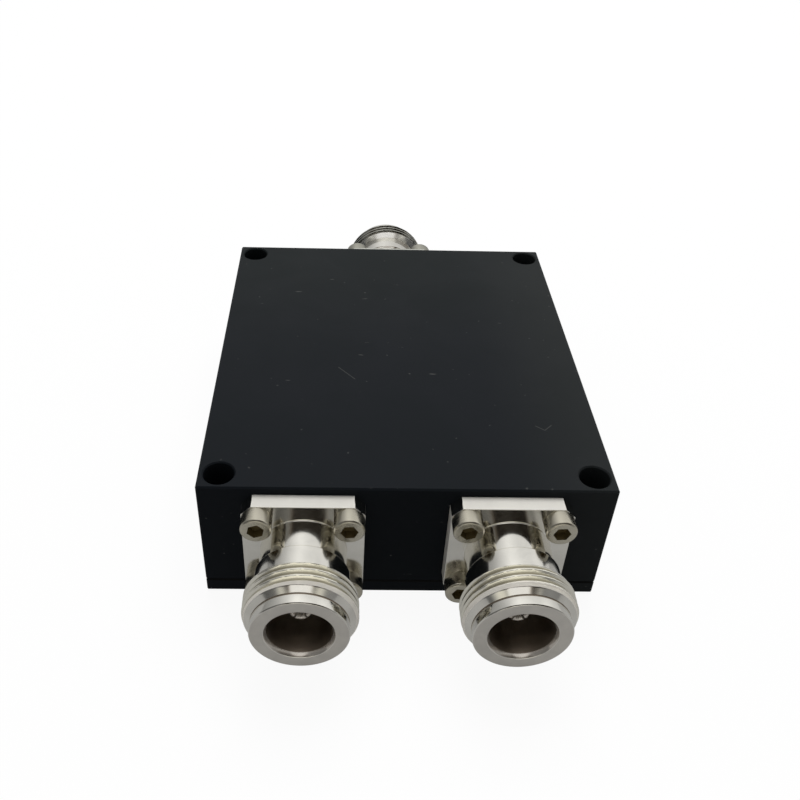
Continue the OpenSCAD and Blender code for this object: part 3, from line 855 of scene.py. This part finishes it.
class SPLITTER_OT_flange_screws(bpy.types.Operator):
    """Turn a socket head screw and set four of them on each flange"""
    bl_idname = "splitter.flange_screws"
    bl_label = "Flange Screws"

    ease = 0.1 * MM
    steps = 72
    smooth_angle = 40
    # Degrees that the sockets are turned by, from the side and from the height of their screw
    side_turn = 23
    height_turn = 11

    def one_screw(self, screw):
        """A screw whose head rests on Z = 0."""
        mouth = screw.hex_w / 2 / math.cos(math.pi / 6)
        body = turned("screw", eased([
            (0, -screw.shank_l, 0),
            (screw.shank_r - 2 * self.ease, -screw.shank_l, 0),
            (screw.shank_r, 2 * self.ease - screw.shank_l, 0),
            (screw.shank_r, 0, 0),
            (screw.head_r, 0, self.ease),
            (screw.head_r, screw.head_h - screw.head_break, self.ease),
            (screw.head_r - screw.head_break, screw.head_h, self.ease),
            (0, screw.head_h, 0),
        ]), self.steps)
        bpy.ops.object.select_all(action="DESELECT")
        bpy.ops.mesh.primitive_cylinder_add(
            vertices=6, radius=mouth, depth=2 * screw.hex_l, location=(0, 0, screw.head_h))
        combine(body, bpy.context.object, "DIFFERENCE")
        return body

    def execute(self, context):
        screw = context.scene.splitter_screw
        jack = context.scene.splitter_jack
        body = self.one_screw(screw)
        smoothed(body, self.smooth_angle)
        keep_local(body)
        steel = plated("screw_steel", screw.steel, rough=0.24, rough_change=0.10,
                       feed=0.10 * MM, strength=0.25, patch=2 * MM, rear_shade=0.5)
        # Painted shade: the faces deep in each hex socket are drawn dark brown
        painted_shade = grained("socket_painted_shade", screw.painted_shade, rough=0.45, size=0.1 * MM, patch=1 * MM, metallic=0.6)
        coat(body, steel, painted_shade)
        # A little more than the radius of the socket's corners
        past_corners = screw.hex_w / 1.7
        for face in body.data.polygons:
            deep = 0 < face.center.z < screw.head_h - self.ease
            face.material_index = int(deep and face.center.xy.length < past_corners)
        half = jack.flange_pitch / 2
        copies = []
        for sx, sy in ((-1, -1), (-1, 1), (1, -1), (1, 1)):
            pick(body)
            bpy.ops.object.duplicate()
            copy = bpy.context.object
            degrees = self.side_turn * sx + self.height_turn * sy
            turn = Matrix.Rotation(math.radians(degrees), 4, "Z")
            copy.matrix_world = Matrix.Translation((sx * half, sy * half, jack.flange_t)) @ turn
            bpy.ops.object.transform_apply(location=True, rotation=True, scale=True)
            copies.append(copy)
        bpy.data.objects.remove(body)
        bpy.ops.object.select_all(action="DESELECT")
        for copy in copies:
            copy.select_set(True)
        context.view_layer.objects.active = copies[0]
        bpy.ops.object.join()
        set_on_ports(named("four_screws"), "socket_screws", "flange_screws")
        return {"FINISHED"}


class SPLITTER_OT_contacts(bpy.types.Operator):
    """Turn and slot the centre contacts and turn the insulators that carry them"""
    bl_idname = "splitter.contacts"
    bl_label = "Contacts and Insulators"

    ease = 0.06 * MM
    steps = 96
    smooth_angle = 35

    def contact_body(self, contact):
        """Solder pin and spring socket with crossed slots."""
        tip = contact.socket_tip
        bottom = tip - contact.socket_bore_l
        body = turned("contact", eased([
            (0, -contact.pin_l, 0),
            (contact.pin_r, -contact.pin_l, 2 * self.ease),
            (contact.pin_r, 0, 0),
            (contact.socket_r, 0, self.ease),
            (contact.socket_r, tip - contact.tip_break, self.ease),
            (contact.socket_r - contact.tip_break, tip, self.ease),
            (contact.socket_bore_r + contact.tip_break, tip, self.ease),
            (contact.socket_bore_r, tip - contact.tip_break, self.ease),
            (contact.socket_bore_r, bottom, 0),
            (0, bottom - contact.socket_bore_r / 2, 0),
        ]), self.steps)
        for turn in (math.pi / 4, -math.pi / 4):
            bpy.ops.object.select_all(action="DESELECT")
            bpy.ops.mesh.primitive_cube_add(
                size=1, location=(0, 0, tip), rotation=(0, 0, turn),
                scale=(contact.slot_w, 4 * contact.socket_r, 2 * contact.slot_l))
            combine(body, bpy.context.object, "DIFFERENCE")
        return body

    def execute(self, context):
        contact = context.scene.splitter_contact
        jack = context.scene.splitter_jack
        body = self.contact_body(contact)
        smoothed(body, self.smooth_angle)
        keep_local(body)
        coat(body, plated("silver_plate", contact.silver, rough=0.26, rough_change=0.08,
                          feed=0.06 * MM, strength=0.10, patch=1 * MM, metallic=0.6))
        set_on_ports(body, "spring_contact", "center_contact")
        hole = contact.socket_r + contact.fit
        insulator = turned("insulator", eased([
            (contact.pin_r + contact.fit, -contact.wall, 0),
            (contact.insulator_r, -contact.wall, 2 * self.ease),
            (contact.insulator_r, 0, 0),
            (contact.collar_r, 0, self.ease),
            (contact.collar_r, contact.collar_t - contact.fit, self.ease),
            (contact.insulator_r, contact.collar_t - contact.fit, 0),
            (contact.insulator_r, jack.bore_end, 2 * self.ease),
            (hole, jack.bore_end, self.ease),
            (hole, 0, 0),
            (contact.pin_r + contact.fit, 0, 0),
            (contact.pin_r + contact.fit, -contact.wall, 0),
        ]), self.steps)
        smoothed(insulator, self.smooth_angle)
        keep_local(insulator)
        coat(insulator, grained("white_insulator", contact.plastic, rough=0.38, size=0.08 * MM,
                                patch=2 * MM, subsurface_weight=0.15))
        set_on_ports(insulator, "white_insulator", "insulator")
        return {"FINISHED"}


class SPLITTER_OT_inner_parts(bpy.types.Operator):
    """Finish the divider circuit, its screws and the screws of the bottom cover"""
    bl_idname = "splitter.inner_parts"
    bl_label = "Circuit and Cover Screws"

    def execute(self, context):
        circuit = context.scene.splitter_circuit
        steel = context.scene.splitter_screw.steel
        # Finish, colour, roughness, size of its grain, size of its patches, share of metal and solids
        finishes = (
            ("board_laminate", circuit.laminate, 0.5, 0.2 * MM, 5 * MM, 0.0, ["circuit_board"]),
            ("copper", circuit.copper, 0.3, 0.1 * MM, 4 * MM, 1.0, ["divider_trace"]),
            ("chip_resistor", circuit.ceramic, 0.4, 0.05 * MM, 1 * MM, 0.0, ["isolation_resistors"]),
            ("solder", circuit.solder, 0.25, 0.2 * MM, 1 * MM, 1.0, ["solder_joints"]),
            ("plain_screw", steel, 0.28, 0.1 * MM, 2 * MM, 1.0, ["cover_screws", "board_screws"]),
        )
        for name, base, rough, size, patch, metallic, solids in finishes:
            paint_nodes(grained(name, base, rough, size, patch, metallic=metallic), *solids)
        return {"FINISHED"}


class SPLITTER_OT_stage(bpy.types.Operator):
    """Set the camera, the pale floor and the soft light"""
    bl_idname = "splitter.stage"
    bl_label = "Stage"

    clip_start = 10 * MM
    # Edges of the bright and dark fields that metal mirrors: the part of a direction (across, along or
    # upward) at which a field begins and ends, and the brightness there where it isn't from none to full
    front_edge = (0.15, 0.40)
    overhead_edge = (0.82, 0.92)
    behind_edge = (-0.30, 0.30, 0.35, 1.0)
    rise = (-0.05, 0.72, 0.62, 1.0)
    zenith = (0.70, 0.82, 0.95, 1.05)
    left_end = (-0.75, -0.05, 0.45, 1.0)
    right_half = (-0.15, 0.30, 1.0, 0.84)
    right_end = (0.45, 0.70, 1.0, 1.25)
    shade_middle = 0.28
    shade_side = (0.62, 0.78, 1.0, 0.0)
    shade_foot = (0.30, 0.40)
    shade_depth = 0.97
    low_top = (0.28, 0.38, 1.0, 0.0)
    low_side = (0.40, 0.60, 0.80, 0.0)
    card_top = (0.48, 0.53, 1.0, 0.0)
    card_side = (0.22, 0.30, 0.95, 0.0)

    def camera(self, context, stage):
        """A camera at the viewing angle, from its turn, dip and roll."""
        yaw, dip, roll = stage.camera_turn
        back = Vector((math.sin(yaw) * math.cos(dip), -math.cos(yaw) * math.cos(dip), math.sin(dip)))
        side = (-back).cross(Vector((0, 0, 1))).normalized()
        up = side.cross(-back)
        right = side * math.cos(roll) + up * math.sin(roll)
        upright = up * math.cos(roll) - side * math.sin(roll)
        bpy.ops.object.camera_add(location=stage.camera_at)
        camera = bpy.context.object
        turn = Matrix((right, upright, back)).transposed()
        camera.rotation_euler = turn.to_euler()
        camera.data.sensor_width = SENSOR
        camera.data.lens = stage.lens
        camera.data.shift_x, camera.data.shift_y = stage.shift
        camera.data.clip_start = self.clip_start
        context.scene.camera = camera

    def floor(self, stage):
        """A pale floor that keeps the shadow and reads nearly white."""
        bpy.ops.object.select_all(action="DESELECT")
        bpy.ops.mesh.primitive_plane_add(size=stage.floor_size, location=(0, 0, CAD_BOX[0].z))
        plane = named("floor")
        material = bpy.data.materials.new("pale_floor")
        material.use_nodes = True
        tree = material.node_tree
        tree.nodes.clear()
        ray = tree.nodes.new("ShaderNodeLightPath").outputs
        seen = maths(tree, "MAXIMUM", ray["Is Camera Ray"], ray["Is Transmission Ray"])
        matt = put(tree, "ShaderNodeBsdfDiffuse", {
            "Color": mixed(tree, seen, full(stage.floor), full(stage.white))})
        bright = put(tree, "ShaderNodeEmission", {"Strength": 1.0})
        dim = put(tree, "ShaderNodeEmission", {"Strength": stage.reflected})
        whiter = maths(tree, "MULTIPLY", seen, stage.whiteness)
        pale = put(tree, "ShaderNodeMixShader", {0: whiter, 1: matt.outputs[0], 2: bright.outputs[0]})
        dimmer = maths(tree, "MULTIPLY", ray["Is Glossy Ray"], stage.glow)
        blend = put(tree, "ShaderNodeMixShader", {0: dimmer, 1: pale.outputs[0], 2: dim.outputs[0]})
        put(tree, "ShaderNodeOutputMaterial", {0: blend.outputs[0]})
        plane.data.materials.append(material)

    def world(self, context, stage):
        """White behind the part, a bright sky over a dark front for its metal, and even light."""
        world = bpy.data.worlds.new("studio")
        context.scene.world = world
        world.use_nodes = True
        tree = world.node_tree
        tree.nodes.clear()
        ray = tree.nodes.new("ShaderNodeLightPath").outputs
        way = tree.nodes.new("ShaderNodeTexCoord").outputs["Generated"]
        across, along, upward = put(tree, "ShaderNodeSeparateXYZ", {0: way}).outputs
        aside = maths(tree, "ABSOLUTE", across)
        front = ranged(tree, maths(tree, "MULTIPLY", along, -1.0), *self.front_edge)
        overhead = ranged(tree, upward, *self.overhead_edge)
        behind = maths(tree, "MAXIMUM", overhead, ranged(tree, along, *self.behind_edge))
        sky = product(tree, ranged(tree, upward, *self.rise), behind, ranged(tree, upward, *self.zenith),
                      ranged(tree, across, *self.left_end), ranged(tree, across, *self.right_half),
                      ranged(tree, across, *self.right_end))
        # A dark field in front, with a low warm glow and a pale card in it
        from_middle = maths(tree, "ABSOLUTE", maths(tree, "SUBTRACT", across, self.shade_middle))
        shaded = product(tree, front, ranged(tree, from_middle, *self.shade_side),
                         ranged(tree, upward, *self.shade_foot), maths(tree, "SUBTRACT", 1.0, overhead))
        sky = product(tree, sky, maths(tree, "MULTIPLY_ADD", shaded, -self.shade_depth, 1.0))
        low = product(tree, front, ranged(tree, upward, *self.low_top), ranged(tree, aside, *self.low_side))
        card = product(tree, front, ranged(tree, upward, *self.card_top),
                       ranged(tree, aside, *self.card_side))
        lit = maths(tree, "MAXIMUM", low, card)
        sky = maths(tree, "MAXIMUM", sky, lit)
        dim = maths(tree, "SUBTRACT", shaded, lit, clamp=True)
        seen = maths(tree, "MAXIMUM", ray["Is Camera Ray"], ray["Is Transmission Ray"])
        around = put(tree, "ShaderNodeBackground", {"Strength": stage.ambient})
        warmer = mixed(tree, low, full(stage.white), full(stage.warm))
        mirrored = put(tree, "ShaderNodeBackground", {
            "Strength": sky, "Color": mixed(tree, dim, warmer, full(stage.brown))})
        white = put(tree, "ShaderNodeBackground", {"Strength": 1.0})
        for node in (around, white):
            node.inputs["Color"].default_value = full(stage.white)
        first = put(tree, "ShaderNodeMixShader", {
            0: ray["Is Glossy Ray"], 1: around.outputs[0], 2: mirrored.outputs[0]})
        blend = put(tree, "ShaderNodeMixShader", {0: seen, 1: first.outputs[0], 2: white.outputs[0]})
        put(tree, "ShaderNodeOutputWorld", {0: blend.outputs[0]})

    def lamp(self, name, place, size, power):
        """A soft square lamp that looks at the part and isn't mirrored in its metal."""
        bpy.ops.object.light_add(type="AREA", location=place)
        lamp = bpy.context.object
        lamp.name = name
        lamp.rotation_euler = Vector(place).to_track_quat("Z", "Y").to_euler()
        lamp.data.size = size
        lamp.data.energy = power
        lamp.visible_glossy = False

    def execute(self, context):
        stage = context.scene.splitter_stage
        self.camera(context, stage)
        self.floor(stage)
        self.world(context, stage)
        self.lamp("overhead", place=(0.05, 0.30, 0.75), size=0.60, power=5.0)
        self.lamp("front_fill", place=(-0.45, -0.55, 0.55), size=0.50, power=0.3)
        context.scene.view_settings.view_transform = "Standard"
        return {"FINISHED"}


class SPLITTER_PT_panel(bpy.types.Panel):
    """Pieces of the splitter and their settings"""
    bl_idname = "SPLITTER_PT_panel"
    bl_label = "Power Splitter"
    bl_space_type = "VIEW_3D"
    bl_region_type = "UI"
    bl_category = "Splitter"

    def draw(self, context):
        layout = self.layout
        for operator in OPERATORS:
            layout.operator(operator.bl_idname)
        for name, group in SETTINGS.items():
            box = layout.box()
            box.label(text=group.__doc__)
            settings = getattr(context.scene, name)
            for key in group.__annotations__:
                box.prop(settings, key)


OPERATORS = (
    SPLITTER_OT_box,
    SPLITTER_OT_jack_bodies,
    SPLITTER_OT_flange_screws,
    SPLITTER_OT_contacts,
    SPLITTER_OT_inner_parts,
    SPLITTER_OT_stage,
)
SETTINGS = {
    "splitter_box": SplitterBoxSettings,
    "splitter_jack": SplitterJackSettings,
    "splitter_contact": SplitterContactSettings,
    "splitter_screw": SplitterScrewSettings,
    "splitter_circuit": SplitterCircuitSettings,
    "splitter_stage": SplitterStageSettings,
}


def register():
    """Registers the settings, the operators and the panel."""
    for group in SETTINGS.values():
        bpy.utils.register_class(group)
    for name, group in SETTINGS.items():
        setattr(bpy.types.Scene, name, bpy.props.PointerProperty(type=group))
    for operator in OPERATORS:
        bpy.utils.register_class(operator)
    bpy.utils.register_class(SPLITTER_PT_panel)


def unregister():
    """Takes back what register has done."""
    bpy.utils.unregister_class(SPLITTER_PT_panel)
    for operator in reversed(OPERATORS):
        bpy.utils.unregister_class(operator)
    for name in SETTINGS:
        delattr(bpy.types.Scene, name)
    for group in reversed(list(SETTINGS.values())):
        bpy.utils.unregister_class(group)


def main():
    """Registers the settings and operators and makes every piece in order."""
    register()
    bpy.ops.splitter.box()
    bpy.ops.splitter.jack_bodies()
    bpy.ops.splitter.flange_screws()
    bpy.ops.splitter.contacts()
    bpy.ops.splitter.inner_parts()
    bpy.ops.splitter.stage()


if __name__ == "__main__":
    main()
